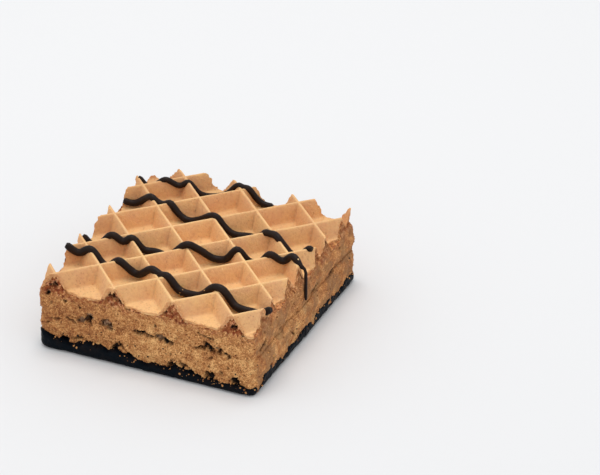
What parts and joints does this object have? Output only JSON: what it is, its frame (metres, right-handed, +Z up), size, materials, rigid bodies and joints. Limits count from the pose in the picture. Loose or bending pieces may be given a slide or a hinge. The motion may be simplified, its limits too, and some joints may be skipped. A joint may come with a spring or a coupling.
{
  "type": "chocolate coated wafer",
  "caption": "Square wafer snack with a pocketed wafer sheet on top, crumbly cocoa cream layers, a dark chocolate underside and thick chocolate lines across the top.",
  "frame": {"origin": "centre of the flat chocolate underside", "axes": "+Z up, from the chocolate underside to the wafer sheet; +X along the front side, where the chocolate lines run to; +Y from the front side to the back side"},
  "size_m": [0.0528, 0.0557, 0.0199],
  "materials": {
    "dark_chocolate": "satin",
    "lower_cocoa_crumb": "rough, crumbly",
    "upper_cocoa_crumb": "rough, crumbly",
    "wafer_biscuit": "matte, baked"
  },
  "bodies": {
    "root": {"chocolate_base": "dark_chocolate", "filling_lower": "lower_cocoa_crumb", "filling_upper": "upper_cocoa_crumb", "wafer_sheet": "wafer_biscuit"}
  },
  "joints": []
}
